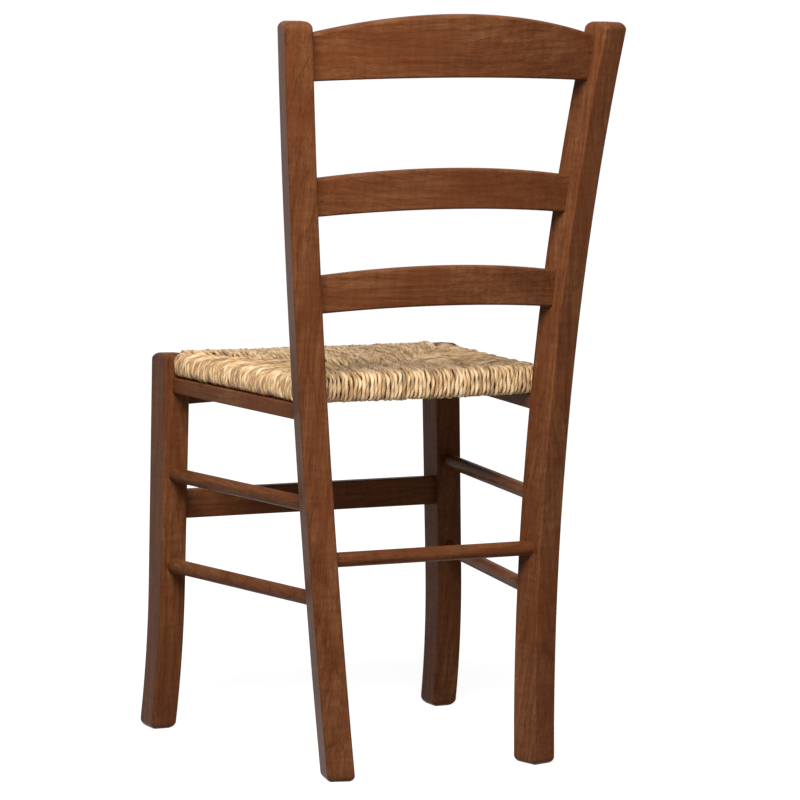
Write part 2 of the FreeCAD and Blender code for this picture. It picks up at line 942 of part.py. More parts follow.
keep_pair(cut(side_bar_blank, "side_bar_drilled", screw_bar_tools + [
    front_left_tool, rear_left_tool]), "seat_bar")
keep(group("dowels", dowels), "seat_dowels")
keep(group("screws", screws), "seat_screws")


def make_stuffing():
    gap = size["stuffing_gap"]
    rear = bar_joint - gap
    front = bar_shoulder + gap
    return prism("stuffing", both_sides([
        (side_line(rear, inner_wrap + gap), rear),
        (side_line(front, inner_wrap + gap), front),
    ]), bar_low + gap, bar_height - gap * 2)


keep(make_stuffing(), "seat_stuffing")
cover_hollow = prism("cover_hollow", seat_plan(wrap), bar_low, bar_height)
keep(cut(cover_form, "cover", [
    fused("cover_spaces", [cover_hollow] + screw_cover_tools)] + make_valleys()), "rush_seat")


# Checks, then one file for each piece

doc.recompute()
for item in doc.Objects:
    if "Invalid" in item.State or "Error" in item.State:
        raise RuntimeError(f"{item.Label} could not be built")
for piece in nodes:
    shape = piece.Shape
    if shape.isNull() or not shape.isValid() or not shape.Solids:
        raise RuntimeError(f"{piece.Label} has no sound solid")

os.makedirs("parts", exist_ok=True)
for piece in nodes:
    piece.Shape.exportStep(f"parts/{piece.Label}.step")
    print(piece.Label, len(piece.Shape.Solids), f"{piece.Shape.Volume:.0f} mm3")
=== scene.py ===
# %% [markdown]
# A ladderback chair with a rush seat
#
# The wooden pieces of this chair come from the construction model with their
# true shapes, so they only need a finish here. The seat is different: its
# solid is the smooth outer form of the rush, and this script winds the real
# strands in that form. Everything is in metres, in the model's own frame:
# X to the sitter's left, Y to the rear, Z up, and the floor at Z = 0.

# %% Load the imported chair
import math
import random

import bpy
import numpy as np
from mathutils import Matrix, Vector


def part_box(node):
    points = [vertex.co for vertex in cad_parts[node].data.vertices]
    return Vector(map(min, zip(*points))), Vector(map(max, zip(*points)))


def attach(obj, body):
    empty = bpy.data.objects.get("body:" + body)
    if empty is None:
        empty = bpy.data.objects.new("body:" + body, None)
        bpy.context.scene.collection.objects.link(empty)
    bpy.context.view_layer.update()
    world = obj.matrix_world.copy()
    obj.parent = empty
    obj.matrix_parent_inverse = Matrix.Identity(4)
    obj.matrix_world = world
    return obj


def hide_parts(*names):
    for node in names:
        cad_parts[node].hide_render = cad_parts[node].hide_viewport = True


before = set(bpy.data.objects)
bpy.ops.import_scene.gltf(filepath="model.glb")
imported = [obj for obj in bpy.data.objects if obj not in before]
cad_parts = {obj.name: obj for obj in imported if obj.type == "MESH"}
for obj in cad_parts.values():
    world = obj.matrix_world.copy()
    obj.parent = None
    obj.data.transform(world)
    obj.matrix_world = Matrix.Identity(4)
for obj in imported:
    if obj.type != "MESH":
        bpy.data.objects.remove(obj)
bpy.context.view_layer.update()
MM = 0.001
print("nodes of the chair:", len(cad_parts))

# %% [markdown]
# A few helpers serve the whole script. Colours are picked as sRGB hex values,
# which is how paint charts and photographs give them, but Blender mixes light
# in linear values, so one function converts them. Another adds a node to any
# tree with its settings, values and links in one call.

# %% Helpers for colours and nodes
def colour(hex_value):
    """An sRGB hex value as linear red, green, blue and alpha."""
    channels = [int(hex_value[i:i + 2], 16) / 255 for i in (1, 3, 5)]
    return [c / 12.92 if c <= 0.04045 else ((c + 0.055) / 1.055) ** 2.4 for c in channels] + [1.0]


def add_node(tree, kind, inputs=None, **settings):
    """A new node. Each input is a value, an output socket, or a node for its first output."""
    node = tree.nodes.new(kind)
    for name, value in settings.items():
        setattr(node, name, value)
    for key, value in (inputs or {}).items():
        if isinstance(value, bpy.types.Node):
            value = value.outputs[0]
        if isinstance(value, bpy.types.NodeSocket):
            tree.links.new(value, node.inputs[key])
        else:
            node.inputs[key].default_value = value
    return node


def new_material(name):
    """An empty node material, with its tree and its output node."""
    material = bpy.data.materials.new(name)
    material.use_nodes = True
    material.node_tree.nodes.clear()
    output = add_node(material.node_tree, "ShaderNodeOutputMaterial")
    return material, material.node_tree, output


def set_stops(node, stops):
    """The colour ramp node, filled with stops of (position, hex value)."""
    elements = node.color_ramp.elements
    while len(elements) < len(stops):
        elements.new(0.5)
    for element, (position, hex_value) in zip(elements, stops):
        element.position = position
        element.color = colour(hex_value)
    return node


def weigh(tree, start, patterns):
    """Start, plus how far each pattern is from one half times its weight."""
    total = start
    for pattern, weight in patterns:
        apart = add_node(tree, "ShaderNodeMath", {0: pattern, 1: 0.5}, operation="SUBTRACT")
        total = add_node(tree, "ShaderNodeMath", {
            0: apart, 1: weight, 2: total}, operation="MULTIPLY_ADD")
    return total


# %% [markdown]
# The camera stands behind the chair, to its left, about waist high, with a
# long lens. Its place was worked out from the edges of the posts and legs, so
# the chair falls where the photograph has it. A camera looks along its own
# -Z, so its matrix is its right, its up and its back.

# %% Camera
CAMERA_PLACE = Vector((2.35285, 4.54509, 1.03808))
CAMERA_YAW = 0.4889
CAMERA_PITCH = 0.127
CAMERA_ROLL = 0.0201
FOCAL_PIXELS = 4315.15
PICTURE_PIXELS = 800
CENTRE_PIXELS = (423.4, 428.3)
SENSOR_WIDTH = 36.0
FARTHEST_SEEN = 200.0

forward = Vector((
    -math.sin(CAMERA_YAW) * math.cos(CAMERA_PITCH),
    -math.cos(CAMERA_YAW) * math.cos(CAMERA_PITCH),
    -math.sin(CAMERA_PITCH)))
level_right = forward.cross(Vector((0, 0, 1))).normalized()
level_up = level_right.cross(forward)
right = math.cos(CAMERA_ROLL) * level_right + math.sin(CAMERA_ROLL) * level_up
up = math.cos(CAMERA_ROLL) * level_up - math.sin(CAMERA_ROLL) * level_right

lens = bpy.data.cameras.new("camera")
lens.sensor_width = SENSOR_WIDTH
lens.lens = FOCAL_PIXELS / PICTURE_PIXELS * SENSOR_WIDTH
lens.shift_x = (PICTURE_PIXELS / 2 - CENTRE_PIXELS[0]) / PICTURE_PIXELS
lens.shift_y = (CENTRE_PIXELS[1] - PICTURE_PIXELS / 2) / PICTURE_PIXELS
lens.clip_end = FARTHEST_SEEN
camera = bpy.data.objects.new("camera", lens)
facing = Matrix((right, up, -forward)).transposed().to_4x4()
camera.matrix_world = Matrix.Translation(CAMERA_PLACE) @ facing
bpy.context.scene.collection.objects.link(camera)
bpy.context.scene.camera = camera
bpy.context.scene.view_settings.view_transform = "Standard"
print("lens", round(lens.lens, 1), "mm")

# %% [markdown]
# The photograph has a bare white ground. A large white floor does the same:
# seen directly it also glows, a little less near the chair, so it stays white
# far from the lamp and still takes a faint shadow at the feet. The light is a
# big soft window up behind the chair, to its left, which is why the left faces
# are bright and the right ones dark, and a pale room all round fills the
# shadows.

# %% Floor, room light and window light
GLOW_NEAR = 0.9
GLOW_FAR = 1.0
GLOW_START = 0.3
GLOW_REACH = 1.5
ROOM_LIGHT = 0.13
WINDOW_POWER = 67.0
WINDOW_SIZE = 1.1
WINDOW_PLACE = Vector((0.8, 1.2, 1.9))
WINDOW_AIM = Vector((0.0, 0.0, 0.5))
FLOOR_HALF = 60.0


def seen_directly(tree):
    """1 for what the camera sees, also in a mirror or through glass."""
    rays = add_node(tree, "ShaderNodeLightPath").outputs
    direct = add_node(tree, "ShaderNodeMath", {
        0: rays["Is Camera Ray"], 1: rays["Is Glossy Ray"]}, operation="MAXIMUM")
    return add_node(tree, "ShaderNodeMath", {
        0: direct, 1: rays["Is Transmission Ray"]}, operation="MAXIMUM")


floor_paint, tree, output = new_material("white_floor_paint")
chalk = add_node(tree, "ShaderNodeBsdfDiffuse", {"Color": colour("#A8A8A8")})
place = add_node(tree, "ShaderNodeTexCoord").outputs["Object"]
from_chair = add_node(tree, "ShaderNodeVectorMath", {0: place}, operation="LENGTH")
brighter = add_node(tree, "ShaderNodeMapRange", {
    "Value": from_chair.outputs["Value"], "From Min": GLOW_START, "From Max": GLOW_REACH,
    "To Min": GLOW_NEAR, "To Max": GLOW_FAR})
glow_level = add_node(tree, "ShaderNodeMath", {
    0: seen_directly(tree), 1: brighter}, operation="MULTIPLY")
glow = add_node(tree, "ShaderNodeEmission", {"Strength": glow_level})
both = add_node(tree, "ShaderNodeAddShader", {0: chalk, 1: glow})
tree.links.new(both.outputs[0], output.inputs["Surface"])

floor_mesh = bpy.data.meshes.new("floor")
floor_mesh.from_pydata(
    [(-FLOOR_HALF, -FLOOR_HALF, 0), (FLOOR_HALF, -FLOOR_HALF, 0),
     (FLOOR_HALF, FLOOR_HALF, 0), (-FLOOR_HALF, FLOOR_HALF, 0)], [], [(0, 1, 2, 3)])
floor_mesh.materials.append(floor_paint)
floor = bpy.data.objects.new("floor", floor_mesh)
bpy.context.scene.collection.objects.link(floor)

room = bpy.data.worlds.new("pale_room")
room.use_nodes = True
tree = room.node_tree
tree.nodes.clear()
level = add_node(tree, "ShaderNodeMapRange", {
    "Value": seen_directly(tree), "To Min": ROOM_LIGHT, "To Max": 1.0})
walls = add_node(tree, "ShaderNodeBackground", {"Strength": level})
add_node(tree, "ShaderNodeOutputWorld", {"Surface": walls})
bpy.context.scene.world = room

window = bpy.data.lights.new("window", "AREA")
window.shape = "SQUARE"
window.size = WINDOW_SIZE
window.energy = WINDOW_POWER
window_object = bpy.data.objects.new("window", window)
window_object.location = WINDOW_PLACE
window_object.rotation_euler = (WINDOW_AIM - WINDOW_PLACE).to_track_quat("-Z", "Y").to_euler()
bpy.context.scene.collection.objects.link(window_object)
print("window", round(window.size, 2), "m wide,", round(window.energy), "W")

# %% [markdown]
# The wood is beech with a walnut stain under a thin, dull lacquer. Beech is a
# fine, even wood: its yearly rings are close and faint, and its rays show as
# short dark flecks along the grain. The stain sinks in unevenly, so the brown
# is redder in one place and more ochre in the next. Each piece was sawn from
# its own board, so each gets its own turn and place in the tree trunk: the
# rings are circles round a trunk axis that is a little aslant to the piece,
# which draws the long pointed curves seen on the slats and posts.
#
# Sizes are in millimetres. Real rings are 2 or 3 mm apart and real fibres a
# tenth of a millimetre wide, too fine to show at this size, so both are drawn
# coarser. The lacquer's shine is set low: the white room is all round the
# chair here, and a usual shine would lay a pale veil over the dark faces.

# %% Stained beech
# For each pattern: width, length, and the detail and roughness of its noise.
PATTERNS = {
    "clouds": (42.0, 140.0, 3.0, 0.55),
    "streaks": (5.0, 160.0, 2.0, 0.5),
    "fibres": (0.9, 38.0, 3.0, 0.6),
    "mottle": (22.0, 6.0, 2.0, 0.5),
    "wander": (30.0, 90.0, 1.0, 0.4),
    "redness": (34.0, 120.0, 2.0, 0.5),
    "flecks": (0.8, 4.5, 1.0, 0.5)}
STAIN_WEIGHTS = {"clouds": 0.6, "streaks": 0.5, "fibres": 0.7, "mottle": 0.3}
RING_SPACING = 9.0
RING_WANDER = 26.0
RING_SHARPNESS = 5.0
LATE_WOOD = -0.16
TRUNK_NEAREST = 60.0
TRUNK_SPREAD = 45.0
BOARD_SHIFT = 200.0
TRUNK_LEAN = (2.0, 4.5)
TRUNK_SWAY = (-3.0, 3.0)
FLECK_DEPTH = -0.7
LACQUER_SHINE = 0.05
GRAIN_TURNS = {
    "z": (0.0, 0.0, 0.0),
    "x": (0.0, math.radians(90), 0.0),
    "y": (math.radians(90), 0.0, 0.0)}


def board_coordinates(tree, along, chance):
    """Millimetres in the board: Z runs along its grain, and the trunk's axis is some way off."""
    place = add_node(tree, "ShaderNodeTexCoord").outputs["Object"]
    scaled = add_node(tree, "ShaderNodeVectorMath", {0: place, "Scale": 1 / MM}, operation="SCALE")
    turned = add_node(tree, "ShaderNodeMapping", {
        "Vector": scaled, "Rotation": GRAIN_TURNS[along]}, vector_type="POINT")
    trunk = (
        chance.uniform(-TRUNK_SPREAD, TRUNK_SPREAD),
        TRUNK_NEAREST + chance.uniform(0, TRUNK_SPREAD),
        chance.uniform(-BOARD_SHIFT, BOARD_SHIFT))
    lean = math.radians(chance.uniform(*TRUNK_LEAN))
    sway = math.radians(chance.uniform(*TRUNK_SWAY))
    return add_node(tree, "ShaderNodeMapping", {
        "Vector": turned, "Location": trunk, "Rotation": (lean, sway, 0)}, vector_type="POINT")


def grain(tree, board, pattern):
    """The noise of one pattern, stretched to its width and its length along the grain."""
    across, along, detail, roughness = PATTERNS[pattern]
    stretched = add_node(tree, "ShaderNodeVectorMath", {
        0: board, 1: (1 / across, 1 / across, 1 / along)}, operation="MULTIPLY")
    return add_node(tree, "ShaderNodeTexNoise", {
        "Vector": stretched, "Scale": 1.0, "Detail": detail, "Roughness": roughness})


def late_wood(tree, board):
    """Near 1 at the dark outer edge of each yearly ring, and 0 inside it."""
    level = add_node(tree, "ShaderNodeVectorMath", {0: board, 1: (1, 1, 0)}, operation="MULTIPLY")
    from_axis = add_node(tree, "ShaderNodeVectorMath", {0: level}, operation="LENGTH")
    wander = grain(tree, board, "wander")
    bent = weigh(tree, from_axis.outputs["Value"], [(wander, RING_WANDER)])
    rings = add_node(tree, "ShaderNodeMath", {0: bent, 1: RING_SPACING}, operation="DIVIDE")
    ring = add_node(tree, "ShaderNodeMath", {0: rings}, operation="FRACT")
    return add_node(tree, "ShaderNodeMath", {0: ring, 1: RING_SHARPNESS}, operation="POWER")


def stained_beech(name, along, seed):
    """Walnut stained beech under dull lacquer, with the grain along one axis of the chair."""
    material, tree, output = new_material(f"stained_beech_{name}")
    board = board_coordinates(tree, along, random.Random(seed))
    patterns = {name: grain(tree, board, name) for name in STAIN_WEIGHTS}
    fibres = patterns["fibres"]

    value = weigh(tree, 0.5, [
        (patterns[name], weight) for name, weight in STAIN_WEIGHTS.items()])
    value = add_node(tree, "ShaderNodeMath", {
        0: late_wood(tree, board), 1: LATE_WOOD, 2: value}, operation="MULTIPLY_ADD")
    stain = set_stops(add_node(tree, "ShaderNodeValToRGB", {0: value}), [
        (0.0, "#3D1F0D"), (0.3, "#552F18"), (0.52, "#693F25"),
        (0.76, "#7D5233"), (1.0, "#936A48")])

    warm = add_node(tree, "ShaderNodeMapRange", {
        "Value": grain(tree, board, "redness"), "From Min": 0.42, "From Max": 0.66, "To Max": 0.5})
    reddish = add_node(tree, "ShaderNodeMix", {
        "Factor": warm, "A": stain, "B": colour("#603018")}, data_type="RGBA")
    flecks = add_node(tree, "ShaderNodeMapRange", {
        "Value": grain(tree, board, "flecks"), "From Min": 0.66, "From Max": 0.74, "To Max": 0.55})
    surface = add_node(tree, "ShaderNodeMix", {
        "Factor": flecks, "A": reddish.outputs[2], "B": colour("#331A0C")}, data_type="RGBA")

    dull = add_node(tree, "ShaderNodeMapRange", {"Value": fibres, "To Min": 0.36, "To Max": 0.5})
    relief = add_node(tree, "ShaderNodeMath", {
        0: flecks, 1: FLECK_DEPTH, 2: fibres}, operation="MULTIPLY_ADD")
    bump = add_node(tree, "ShaderNodeBump", {
        "Strength": 0.16, "Distance": 0.4 * MM, "Height": relief})
    wood = add_node(tree, "ShaderNodeBsdfPrincipled", {
        "Base Color": surface.outputs[2], "Roughness": dull, "IOR": 1.5,
        "Specular IOR Level": LACQUER_SHINE, "Normal": bump})
    tree.links.new(wood.outputs[0], output.inputs["Surface"])
    return material


# %% [markdown]
# Posts and legs stand, so their grain runs along Z. Slats, stretcher, apron
# and the rear rung lie across the chair, and the side pieces run front to
# rear. A left and a right piece never share a board.

# %% Give every wooden piece its own board
GRAIN_AXES = {
    "rear_post": "z", "front_leg": "z", "top_slat": "x", "middle_slat": "x", "lower_slat": "x",
    "rear_rung": "x", "front_stretcher": "x", "front_apron": "x",
    "upper_side_rung": "y", "lower_side_rung": "y", "side_rail": "y"}
FIRST_SEED = 40
SEED_STEP = 7


def grain_of(node):
    """The axis of the chair that a stained piece's grain follows, or None."""
    return next((axis for start, axis in GRAIN_AXES.items() if node.startswith(start)), None)


def dress(node, material):
    """A CAD piece keeps its shape and gets a new finish."""
    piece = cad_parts[node]
    if not piece.material_slots:
        piece.data.materials.append(material)
    for place in piece.material_slots:
        place.material = material


wooden = sorted(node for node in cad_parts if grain_of(node))
for number, node in enumerate(wooden):
    dress(node, stained_beech(node, grain_of(node), FIRST_SEED + number * SEED_STEP))
print("stained pieces:", len(wooden))

# %% [markdown]
# Inside the rush are pieces that nobody sees until the seat is unwound: a
# frame of bare beech bars with their dowels, screws of zinc plated steel, and
# straw stuffing between the layers. They get plain finishes of the real kind.

# %% Bare beech and plated steel inside the seat
def bare_beech():
    """Planed beech without stain or lacquer."""
    material, tree, output = new_material("bare_beech")
    board = board_coordinates(tree, "x", random.Random(5))
    fibres = grain(tree, board, "fibres")
    pale = set_stops(add_node(tree, "ShaderNodeValToRGB", {0: fibres}), [
        (0.3, "#C79A6B"), (0.7, "#DDB98C")])
    wood = add_node(tree, "ShaderNodeBsdfPrincipled", {"Base Color": pale, "Roughness": 0.6})
    tree.links.new(wood.outputs[0], output.inputs["Surface"])
    return material


def zinc_plated_steel():
    """Plated screws, slightly clouded."""
    material, tree, output = new_material("zinc_plated_steel")
    place = add_node(tree, "ShaderNodeTexCoord").outputs["Object"]
    clouding = add_node(tree, "ShaderNodeTexNoise", {"Vector": place, "Scale": 900.0})
    dull = add_node(tree, "ShaderNodeMapRange", {
        "Value": clouding, "To Min": 0.25, "To Max": 0.42})
    metal = add_node(tree, "ShaderNodeBsdfPrincipled", {
        "Base Color": colour("#C3C5C4"), "Metallic": 1.0, "Roughness": dull})
    tree.links.new(metal.outputs[0], output.inputs["Surface"])
    return material


raw_wood = bare_beech()
unstained = [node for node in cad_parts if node.startswith(("seat_bar", "seat_dowels"))]
for node in unstained:
    dress(node, raw_wood)
dress("seat_screws", zinc_plated_steel())
print("bare pieces inside the seat:", len(unstained))

# %% [markdown]
# The seat is wound from twisted rush. Each strand comes up between the frame's
# bars, runs out over a bar, round it and back below. Strands on the front and
# rear bars run along Y and those on the side bars along X, so the seat falls
# into four fields that meet along seams from the corners to a short bridge in
# the middle. There the strands dive between each other, and the seams are
# valleys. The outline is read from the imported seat, so the strands fit it.

# %% The seat's outline and the seams between the fields
seat_points = np.array([v.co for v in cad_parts["rush_seat"].data.vertices])
wide_corner = seat_points[seat_points[:, 0].argmax()]
rear_corner = seat_points[(seat_points[:, 0] + seat_points[:, 1]).argmax()]
front_corner = seat_points[(seat_points[:, 0] - seat_points[:, 1]).argmax()]
NOTCH_LINE = float(wide_corner[1])
REAR_LINE = float(rear_corner[1])
FRONT_LINE = float(front_corner[1])
NOTCH_SIDE = float(front_corner[0])
REAR_SIDE = float(rear_corner[0])
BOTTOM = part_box("rush_seat")[0].z
BRIDGE_HALF = 33 * MM
BRIDGE_LINE = -9 * MM
CREST_FRONT = 462.3 * MM
CREST_REAR = 467.0 * MM
VALLEY = 8.5 * MM
VALLEY_REACH = 34 * MM
VALLEY_CURVE = 1.6
FULL_RUN = 3 * VALLEY_REACH
LEAST_DEPTH = 0.25
LONGEST_SHARE = 0.55
SHORTEST_RUN = 15 * MM


def blend_line(value, start, end, first, last):
    """A straight line from first at start to last at end."""
    return first + (last - first) * (value - start) / (end - start)


def side_line(y):
    """Half the seat's width at a depth."""
    share = (y - NOTCH_LINE) / (REAR_LINE - NOTCH_LINE)
    return float(wide_corner[0]) + share * float(rear_corner[0] - wide_corner[0])


def seam_x(y):
    """How far from the middle the side strand at this depth dives."""
    if y < BRIDGE_LINE:
        return blend_line(y, NOTCH_LINE, BRIDGE_LINE, NOTCH_SIDE, BRIDGE_HALF)
    return blend_line(y, BRIDGE_LINE, REAR_LINE, BRIDGE_HALF, REAR_SIDE)


def seam_y(x, rear):
    """The depth at which the front or rear strand at this x dives."""
    far = REAR_LINE if rear else NOTCH_LINE
    edge = REAR_SIDE if rear else NOTCH_SIDE
    if abs(x) < BRIDGE_HALF:
        return BRIDGE_LINE
    return blend_line(abs(x), BRIDGE_HALF, edge, BRIDGE_LINE, far)


def crest(y):
    """Height of the seat's top at a depth, away from the seams."""
    return blend_line(y, FRONT_LINE, REAR_LINE, CREST_FRONT, CREST_REAR)


def valley_of(run):
    """Depth and reach of the seam's valley on a strand. A short strand's is smaller."""
    depth = VALLEY * min(1.0, run / FULL_RUN + LEAST_DEPTH)
    return depth, min(VALLEY_REACH, run * LONGEST_SHARE)


def valley_share(run, inward, reach):
    """How much of the valley's depth is reached this far in from the edge."""
    return max(0.0, 1 - (run - inward) / reach) ** VALLEY_CURVE


print("seat", [round(v / MM, 1) for v in (NOTCH_LINE, REAR_LINE, FRONT_LINE, NOTCH_SIDE)])

# %% [markdown]
# One strand's path is drawn in its own upright plane: how far in from the
# seat's edge, and how high. It rises from the seam below, rounds the bar's
# lower edge tightly and its upper edge softly, and dives at the seam above.
# On its way to the seam it crowns a little over the stuffing.

# %% The path of one strand
LOWER_BEND = 6.5 * MM
LOWER_DEGREES = (240, 210, 180)
UPPER_BEND = 9.5 * MM
UPPER_DEGREES = (180, 157, 135, 112, 90)
BULGE = 0.4 * MM
STEP = 7 * MM
LOWER_STEP = 1.6 * STEP
LOWER_VALLEY = 0.8
CROWN = 1.4 * MM
CROWN_RUN = 80 * MM
PAST_SEAM = 1.0 * MM
DIVE = 3.5 * MM


def strand_path(run, top, radius, sag):
    """Centre line of a strand as (in from the edge, height), from the lower seam to the upper."""
    run = max(run, SHORTEST_RUN)
    low = BOTTOM + radius - sag
    high = top - radius
    dip, reach = valley_of(run)
    path = []
    steps = max(2, int((run - radius - LOWER_BEND) / LOWER_STEP))
    for i in range(steps + 1):
        inward = run - (run - radius - LOWER_BEND) * i / steps
        lift = max(0.0, 1 - (run - inward) / reach) ** 2
        path.append((inward, low + sag * (1 - i / steps) ** 2 + dip * LOWER_VALLEY * lift))
    for degrees in LOWER_DEGREES:
        turn = math.radians(degrees)
        path.append((
            radius + LOWER_BEND + LOWER_BEND * math.cos(turn),
            low + LOWER_BEND + LOWER_BEND * math.sin(turn)))
    path.append((radius - BULGE, (low + high + LOWER_BEND - UPPER_BEND) / 2))
    upper = min(UPPER_BEND, run - radius)
    for degrees in UPPER_DEGREES:
        turn = math.radians(degrees)
        path.append((
            radius + upper + upper * math.cos(turn),
            high - upper + upper * math.sin(turn)))
    steps = max(2, int((run - radius - upper) / STEP))
    for i in range(1, steps + 1):
        inward = radius + upper + (run - radius - upper) * i / steps
        crown = CROWN * math.sin(math.pi * min(1.0, inward / run)) * min(1.0, run / CROWN_RUN)
        path.append((inward, high + crown - dip * valley_share(run, inward, reach)))
    path.append((run + PAST_SEAM, high - dip - DIVE))
    return path


# %% [markdown]
# Each field is a set of guide lines: one polyline for each strand, spaced so
# that neighbours touch where their ovals are widest. Every strand carries two
# random numbers, for its colour and for where its twist starts. A hand never
# winds quite evenly, so each line is also shifted a fraction of a millimetre
# sideways, and lifted or sunk up to a millimetre or so. The strands rise a
# little towards the front corners, where they crowd against the legs, and the
# rear edge sags between the rails.

# %% Guide lines of the four fields
STRAND_PITCH = {"left": 6.0 * MM, "right": 6.0 * MM, "front": 5.3 * MM, "rear": 5.3 * MM}
ROUND_SHARE = 0.455
SHIFT_MM = (-0.3, 0.3)
LIFT_MM = (-1.3, 0.4)
CORNER_RISE = 1.2 * MM
CORNER_START = 0.6
SAG = 2.2 * MM
SAG_SPAN = 0.92


def side_strand(field, at, lift, radius):
    """The guide line of a strand on a side bar, at a depth."""
    side = 1 if field == "left" else -1
    path = strand_path(side_line(at) - seam_x(at), crest(at) + lift, radius, 0.0)
    return [(side * (side_line(at) - inward), at, height) for inward, height in path]


def end_strand(field, at, lift, radius, half):
    """The guide line of a strand on the front or rear bar. Its upper half follows the crest."""
    rear = field == "rear"
    edge = REAR_LINE if rear else FRONT_LINE
    way_in = -1 if rear else 1
    sag = SAG * max(0.0, 1 - (at / (SAG_SPAN * half)) ** 2) ** 0.5 if rear else 0.0
    path = strand_path(abs(edge - seam_y(at, rear)), crest(edge) + lift, radius, sag)
    slope = (CREST_FRONT - CREST_REAR) / (FRONT_LINE - REAR_LINE)
    middle = (BOTTOM + CREST_FRONT) / 2
    line = []
    for inward, height in path:
        rise = slope * way_in * inward if height > middle else 0.0
        line.append((at, edge + way_in * inward, height + rise))
    return line


def field_lines(field, chance):
    """Guide lines of one field, as lists of points."""
    on_side = field in ("left", "right")
    half = REAR_SIDE if field == "rear" else NOTCH_SIDE
    first, last = (NOTCH_LINE, REAR_LINE) if on_side else (-half, half)
    radius = STRAND_PITCH[field] * ROUND_SHARE
    count = int((last - first - 2 * radius) / STRAND_PITCH[field])
    pitch = (last - first - 2 * radius) / count
    lines = []
    for number in range(count + 1):
        at = first + radius + pitch * number
        shift = chance.uniform(*SHIFT_MM) * MM
        lift = chance.uniform(*LIFT_MM) * MM
        if 0 < number < count:
            at += shift
        corner = abs(at) / NOTCH_SIDE if field == "front" else at / NOTCH_LINE
        if field != "rear":
            lift += CORNER_RISE * max(0.0, (corner - CORNER_START) / (1 - CORNER_START)) ** 2
        if on_side:
            lines.append(side_strand(field, at, lift, radius))
        else:
            lines.append(end_strand(field, at, lift, radius, half))
    return lines


def guide_object(field, seed):
    """A mesh of bare edges that holds a field's guide lines and their random numbers."""
    chance = random.Random(seed)
    points, edges, tones, turns = [], [], [], []
    for line in field_lines(field, chance):
        tone, turn = chance.random(), chance.random()
        start = len(points)
        points += line
        edges += [(start + i, start + i + 1) for i in range(len(line) - 1)]
        tones += [tone] * len(line)
        turns += [turn] * len(line)
    mesh = bpy.data.meshes.new(f"guides_{field}")
    mesh.from_pydata(points, edges, [])
    mesh.attributes.new("tone", "FLOAT", "POINT").data.foreach_set("value", tones)
    mesh.attributes.new("turn", "FLOAT", "POINT").data.foreach_set("value", turns)
    guide = bpy.data.objects.new(f"guides_{field}", mesh)
    bpy.context.scene.collection.objects.link(guide)
    return guide


# %% [markdown]
# Geometry Nodes turn the guide lines into strands. Each line becomes a smooth
# curve, noise bends it a little, and an oval is swept along it. The oval turns
# as it goes, which is the twist of the strand, and it swells and thins as the
# leaves in it do. Three numbers are stored for the finish: the place along the
# strand and the place round it, as a cosine and a sine so that no seam shows.

# %% A node tree that winds strands
OVAL = (1.12, 0.82, 1.0)
NOISE_SPREAD = 2.4
STRANDS_APART = 3.0
LUMP_SCALE = 1.7


